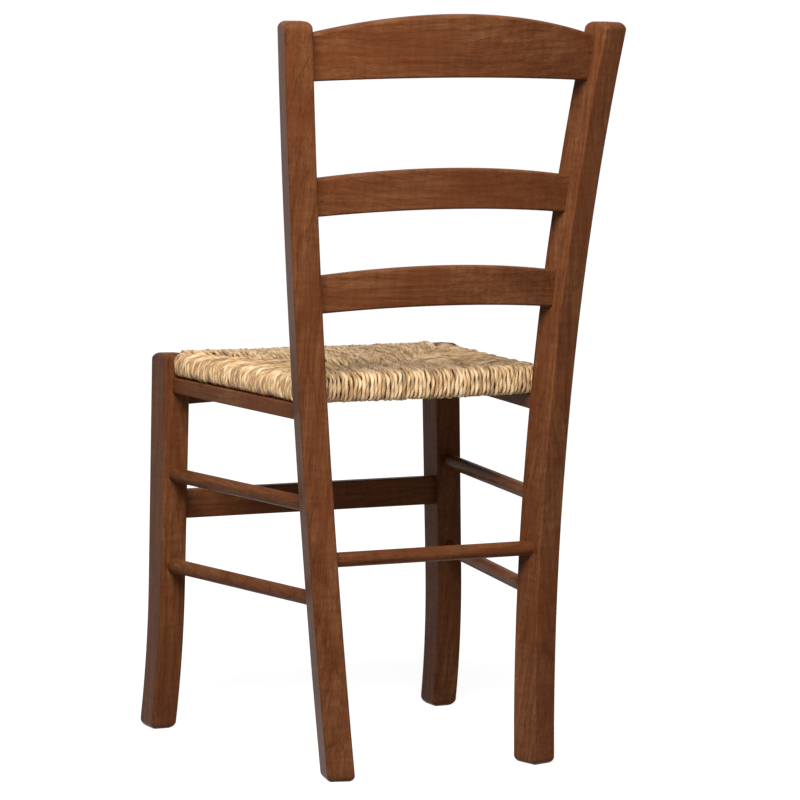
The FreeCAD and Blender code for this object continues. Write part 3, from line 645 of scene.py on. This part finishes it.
def winding_tree():
    """The node tree, with its sizes as inputs in metres."""
    tree = bpy.data.node_groups.new("wind_rush", "GeometryNodeTree")
    face = tree.interface
    face.new_socket("Geometry", in_out="OUTPUT", socket_type="NodeSocketGeometry")
    face.new_socket("Guides", in_out="INPUT", socket_type="NodeSocketGeometry")
    for name, value in (("Radius", 0.0027), ("Step", 0.0034), ("Twist length", 0.034),
                        ("Waver", 0.0016), ("Waver size", 0.022), ("Swell", 0.24)):
        socket = face.new_socket(name, in_out="INPUT", socket_type="NodeSocketFloat")
        socket.default_value = value
    face.new_socket("Sides", in_out="INPUT", socket_type="NodeSocketInt").default_value = 10
    face.new_socket("Finish", in_out="INPUT", socket_type="NodeSocketMaterial")
    given = add_node(tree, "NodeGroupInput").outputs

    curves = add_node(tree, "GeometryNodeMeshToCurve", {"Mesh": given["Guides"]})
    smooth = add_node(tree, "GeometryNodeCurveSplineType", {
        "Curve": curves}, spline_type="CATMULL_ROM")
    even = add_node(tree, "GeometryNodeResampleCurve", {
        "Curve": smooth, "Length": given["Step"]}, mode="LENGTH")

    tone, turn = (
        add_node(tree, "GeometryNodeInputNamedAttribute", {"Name": name}, data_type="FLOAT")
        for name in ("tone", "turn"))
    along = add_node(tree, "GeometryNodeSplineParameter").outputs["Length"]

    place = add_node(tree, "GeometryNodeInputPosition")
    per_size = add_node(tree, "ShaderNodeMath", {
        0: 1.0, 1: given["Waver size"]}, operation="DIVIDE")
    scaled = add_node(tree, "ShaderNodeVectorMath", {
        0: place, "Scale": per_size}, operation="SCALE")
    apart = add_node(tree, "ShaderNodeMath", {0: tone, 1: STRANDS_APART}, operation="MULTIPLY")
    strand_place = add_node(tree, "ShaderNodeCombineXYZ", {0: apart, 1: turn})
    own = add_node(tree, "ShaderNodeVectorMath", {0: scaled, 1: strand_place}, operation="ADD")
    waver = add_node(tree, "ShaderNodeTexNoise", {"Vector": own, "Scale": 1.0, "Detail": 1.0})
    centred = add_node(tree, "ShaderNodeVectorMath", {
        0: waver.outputs["Color"], 1: (0.5, 0.5, 0.5)}, operation="SUBTRACT")
    reach = add_node(tree, "ShaderNodeMath", {
        0: given["Waver"], 1: NOISE_SPREAD}, operation="MULTIPLY")
    offset = add_node(tree, "ShaderNodeVectorMath", {
        0: centred, "Scale": reach}, operation="SCALE")
    wavy = add_node(tree, "GeometryNodeSetPosition", {"Geometry": even, "Offset": offset})

    twists = add_node(tree, "ShaderNodeMath", {
        0: along, 1: given["Twist length"]}, operation="DIVIDE")
    turns = add_node(tree, "ShaderNodeMath", {0: turn, 1: twists}, operation="ADD")
    angle = add_node(tree, "ShaderNodeMath", {0: turns, 1: 2 * math.pi}, operation="MULTIPLY")
    tilted = add_node(tree, "GeometryNodeSetCurveTilt", {"Curve": wavy, "Tilt": angle})

    lump_place = add_node(tree, "ShaderNodeVectorMath", {
        0: own, "Scale": LUMP_SCALE}, operation="SCALE")
    lumps = add_node(tree, "ShaderNodeTexNoise", {
        "Vector": lump_place, "Scale": 1.0, "Detail": 1.0})
    uneven = add_node(tree, "ShaderNodeMath", {0: lumps, 1: 0.5}, operation="SUBTRACT")
    swell = add_node(tree, "ShaderNodeMath", {0: uneven, 1: given["Swell"]}, operation="MULTIPLY")
    swell = add_node(tree, "ShaderNodeMath", {0: swell, 1: 2.0, 2: 1.0}, operation="MULTIPLY_ADD")
    thickness = add_node(tree, "ShaderNodeMath", {
        0: swell, 1: given["Radius"]}, operation="MULTIPLY")
    sized = add_node(tree, "GeometryNodeSetCurveRadius", {"Curve": tilted, "Radius": thickness})
    marked = add_node(tree, "GeometryNodeStoreNamedAttribute", {
        "Geometry": sized, "Name": "along", "Value": along}, data_type="FLOAT", domain="POINT")

    ring = add_node(tree, "GeometryNodeCurvePrimitiveCircle", {
        "Resolution": given["Sides"], "Radius": 1.0})
    ring_place = add_node(tree, "ShaderNodeSeparateXYZ", {
        0: add_node(tree, "GeometryNodeInputPosition")})
    for axis, name in enumerate(("round_x", "round_y")):
        ring = add_node(tree, "GeometryNodeStoreNamedAttribute", {
            "Geometry": ring, "Name": name, "Value": ring_place.outputs[axis]},
            data_type="FLOAT", domain="POINT")
    oval = add_node(tree, "GeometryNodeTransform", {"Geometry": ring, "Scale": OVAL})

    swept = add_node(tree, "GeometryNodeCurveToMesh", {
        "Curve": marked, "Profile Curve": oval, "Fill Caps": True,
        "Scale": add_node(tree, "GeometryNodeInputRadius")})
    rounded = add_node(tree, "GeometryNodeSetShadeSmooth", {"Geometry": swept})
    real = add_node(tree, "GeometryNodeRealizeInstances", {"Geometry": rounded})
    finished = add_node(tree, "GeometryNodeSetMaterial", {
        "Geometry": real, "Material": given["Finish"]})
    add_node(tree, "NodeGroupOutput", {"Geometry": finished})
    return tree


# %% [markdown]
# Rush is the dried leaf of a marsh plant, twisted damp into strands. It dries
# to cream and gold with green and pink tints, and some leaves are brown. Each
# leaf shows fine ribs along it, which follow the twist. The colour changes
# from strand to strand and along each strand, where one leaf ends and the next
# is twisted in. The dry leaf has a slight silky sheen.
#
# Lengths run along the strand. Widths go round it and are in strand radii, so
# a rib is a good millimetre wide: real ones are finer, but wouldn't show.

# %% Twisted rush
STRAND_PLACE = 40.0
LEAF_LENGTH = 34 * MM
LEAF_WIDTH = 1.25
LEAF_WEIGHT = 2.4
RIB_LENGTH = 20 * MM
RIB_WIDTH = 0.45
RIB_WEIGHT = 1.3
TONE_WEIGHT = 0.5
MIDDLE_TONE = 0.53
TINT_LENGTH = 90 * MM
TINT_WIDTH = 2.0
TINT_PLACE = 11.0
TINT_SHARE = 0.3


def wrapped_noise(tree, marks, width, length, detail, roughness):
    """Noise that goes round a strand and is stretched along it, elsewhere for each strand."""
    round_x, round_y, along, own = marks
    place = add_node(tree, "ShaderNodeCombineXYZ", {
        0: add_node(tree, "ShaderNodeMath", {
            0: round_x, 1: 1 / width, 2: own}, operation="MULTIPLY_ADD"),
        1: add_node(tree, "ShaderNodeMath", {0: round_y, 1: 1 / width}, operation="MULTIPLY"),
        2: add_node(tree, "ShaderNodeMath", {0: along, 1: length}, operation="DIVIDE")})
    return add_node(tree, "ShaderNodeTexNoise", {
        "Vector": place, "Scale": 1.0, "Detail": detail, "Roughness": roughness})


def twisted_rush():
    """Dry rush, coloured by the numbers that each strand carries."""
    material, tree, output = new_material("twisted_rush")
    tone, along, round_x, round_y = (
        add_node(tree, "ShaderNodeAttribute", attribute_name=name).outputs["Fac"]
        for name in ("tone", "along", "round_x", "round_y"))
    own = add_node(tree, "ShaderNodeMath", {0: tone, 1: STRAND_PLACE}, operation="MULTIPLY")
    marks = (round_x, round_y, along, own)
    leaf = wrapped_noise(tree, marks, LEAF_WIDTH, LEAF_LENGTH, 2.0, 0.5)
    ribs = wrapped_noise(tree, marks, RIB_WIDTH, RIB_LENGTH, 3.0, 0.6)

    value = weigh(tree, MIDDLE_TONE, [
        (leaf, LEAF_WEIGHT), (tone, TONE_WEIGHT), (ribs, RIB_WEIGHT)])
    dry_leaf = set_stops(add_node(tree, "ShaderNodeValToRGB", {0: value}), [
        (0.0, "#5A3820"), (0.2, "#875B37"), (0.4, "#BB8A5A"), (0.58, "#DBAD7B"),
        (0.78, "#EEC998"), (1.0, "#F8E1BA")])

    tint_place = add_node(tree, "ShaderNodeCombineXYZ", {
        0: add_node(tree, "ShaderNodeMath", {0: own, 1: TINT_PLACE}, operation="ADD"),
        1: add_node(tree, "ShaderNodeMath", {0: round_x, 1: 1 / TINT_WIDTH}, operation="MULTIPLY"),
        2: add_node(tree, "ShaderNodeMath", {0: along, 1: TINT_LENGTH}, operation="DIVIDE")})
    tint_field = add_node(tree, "ShaderNodeTexNoise", {
        "Vector": tint_place, "Scale": 1.0, "Detail": 1.0, "Roughness": 0.5})
    tint = set_stops(add_node(tree, "ShaderNodeValToRGB", {0: tint_field}), [
        (0.3, "#B6A36A"), (0.45, "#D9BC8C"), (0.58, "#D9BC8C"), (0.72, "#CF9C7C")])
    tinted = add_node(tree, "ShaderNodeMix", {
        "Factor": TINT_SHARE, "A": dry_leaf, "B": tint}, data_type="RGBA")

    bump = add_node(tree, "ShaderNodeBump", {
        "Strength": 0.5, "Distance": 0.4 * MM, "Height": ribs})
    straw = add_node(tree, "ShaderNodeBsdfPrincipled", {
        "Base Color": tinted.outputs[2], "Roughness": 0.55, "IOR": 1.45,
        "Sheen Weight": 0.1, "Normal": bump})
    tree.links.new(straw.outputs[0], output.inputs["Surface"])
    return material


# %% Wind the four fields
FIELD_SEEDS = {"left": 11, "right": 12, "front": 13, "rear": 14}
rush_finish = twisted_rush()
winding = winding_tree()


def make_plain(guide, name):
    """The evaluated strands as a plain mesh of their own, with no modifier left."""
    bpy.context.view_layer.update()
    graph = bpy.context.evaluated_depsgraph_get()
    mesh = bpy.data.meshes.new_from_object(
        guide.evaluated_get(graph), preserve_all_data_layers=True, depsgraph=graph)
    mesh.name = name
    bpy.data.objects.remove(guide)
    piece = bpy.data.objects.new(name, mesh)
    bpy.context.scene.collection.objects.link(piece)
    return piece


def wind(field, seed):
    """The strands of one field."""
    guide = guide_object(field, seed)
    winder = guide.modifiers.new("wind_rush", "NODES")
    winder.node_group = winding
    wanted = {"Finish": rush_finish, "Radius": STRAND_PITCH[field] * ROUND_SHARE}
    for item in winding.interface.items_tree:
        if item.item_type == "SOCKET" and item.in_out == "INPUT" and item.name in wanted:
            winder[item.identifier] = wanted[item.name]
    return make_plain(guide, f"rush_{field}")


strands = [wind(field, seed) for field, seed in FIELD_SEEDS.items()]
for piece in strands:
    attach(piece, "root")
    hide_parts("rush_seat")
    print(piece.name, len(piece.data.polygons), "faces")

# %% [markdown]
# Between the strands one sees only shade and the turns below. A closed, gently
# crowned pad, nearly a strand's thickness inside them, does this: it is the
# under layer of rush and the straw stuffing, coloured in dark browns that are
# painted shade, and it follows the crown, the rolled edges and the valleys of
# the strands above it.

# %% The pad under the strands
PAD_INSET = 4.2 * MM
PAD_ROUND = 9 * MM
PAD_ROWS = 60
PAD_NOTCH_ROWS = 8
PAD_NOTCH_STEP = 1 * MM
PAD_COLUMNS = 60
TOP_SINK = 0.9
LOW_SINK = 0.3


def top_height(x, y):
    """Height of the strands' top above a point of the plan."""
    if y > seam_y(x, True):
        run, inward = abs(REAR_LINE - seam_y(x, True)), REAR_LINE - y
    elif y < seam_y(x, False):
        run, inward = abs(seam_y(x, False) - FRONT_LINE), y - FRONT_LINE
    else:
        run, inward = side_line(y) - seam_x(y), side_line(y) - abs(x)
    run = max(run, SHORTEST_RUN)
    dip, reach = valley_of(run)
    return crest(y) - dip * valley_share(run, inward, reach)


def pad_points():
    """The pad's upper and lower points, row by row from the front, and the number of rows."""
    notch = NOTCH_LINE + PAD_INSET
    depths = list(np.linspace(FRONT_LINE + PAD_INSET, notch, PAD_NOTCH_ROWS))
    depths += list(np.linspace(notch + PAD_NOTCH_STEP, REAR_LINE - PAD_INSET, PAD_ROWS))
    spread = [math.sin(math.pi / 2 * v) for v in np.linspace(-1, 1, PAD_COLUMNS + 1)]
    tops, lows = [], []
    for row, y in enumerate(depths):
        half = (NOTCH_SIDE if row < PAD_NOTCH_ROWS else side_line(y)) - PAD_INSET
        for share in spread:
            x = share * half
            edge = min(half - abs(x), y - depths[0], depths[-1] - y)
            beyond = max(0.0, PAD_ROUND - edge)
            sink = PAD_ROUND - math.sqrt(max(0.0, PAD_ROUND ** 2 - beyond ** 2))
            tops.append((x, y, top_height(x, y) - PAD_INSET - sink * TOP_SINK))
            lows.append((x, y, BOTTOM + PAD_INSET + sink * LOW_SINK))
    return tops, lows, len(depths)


def under_pad():
    """A closed mesh: the upper and lower sheets, the front and rear edges, and the sides."""
    tops, lows, rows = pad_points()
    wide = PAD_COLUMNS + 1
    below = len(tops)
    faces = []
    for row in range(rows - 1):
        for column in range(PAD_COLUMNS):
            top = row * wide + column
            low = below + top
            faces.append((top, top + 1, top + 1 + wide, top + wide))
            faces.append((low, low + wide, low + 1 + wide, low + 1))
    for column in range(PAD_COLUMNS):
        rear = (rows - 1) * wide + column
        faces.append((column, below + column, below + column + 1, column + 1))
        faces.append((rear, rear + 1, below + rear + 1, below + rear))
    for row in range(rows - 1):
        start = row * wide
        end = start + PAD_COLUMNS
        faces.append((start, start + wide, below + start + wide, below + start))
        faces.append((end, below + end, below + end + wide, end + wide))
    mesh = bpy.data.meshes.new("rush_under_layer")
    mesh.from_pydata(tops + lows, [], faces)
    mesh.update()
    mesh.shade_smooth()
    return mesh


def painted_shade_straw():
    """Straw and rush deep between the strands, where little light comes, in dark browns that are
    painted shade.
    """
    material, tree, output = new_material("straw_in_painted_shade")
    place = add_node(tree, "ShaderNodeTexCoord").outputs["Object"]
    straws = add_node(tree, "ShaderNodeTexNoise", {"Vector": place, "Scale": 300.0, "Detail": 3.0})
    # These dark browns are painted shade; the straw itself would be paler.
    painted_shade_browns = set_stops(add_node(tree, "ShaderNodeValToRGB", {0: straws}), [
        (0.3, "#2B1C10"), (0.7, "#543C25")])
    straw = add_node(tree, "ShaderNodeBsdfPrincipled", {"Base Color": painted_shade_browns, "Roughness": 0.85})
    tree.links.new(straw.outputs[0], output.inputs["Surface"])
    return material


pad_mesh = under_pad()
pad_mesh.materials.append(painted_shade_straw())
pad = bpy.data.objects.new("rush_under_layer", pad_mesh)
bpy.context.scene.collection.objects.link(pad)
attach(pad, "root")
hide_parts("rush_seat", "seat_stuffing")
print("pad", len(pad_mesh.polygons), "faces")
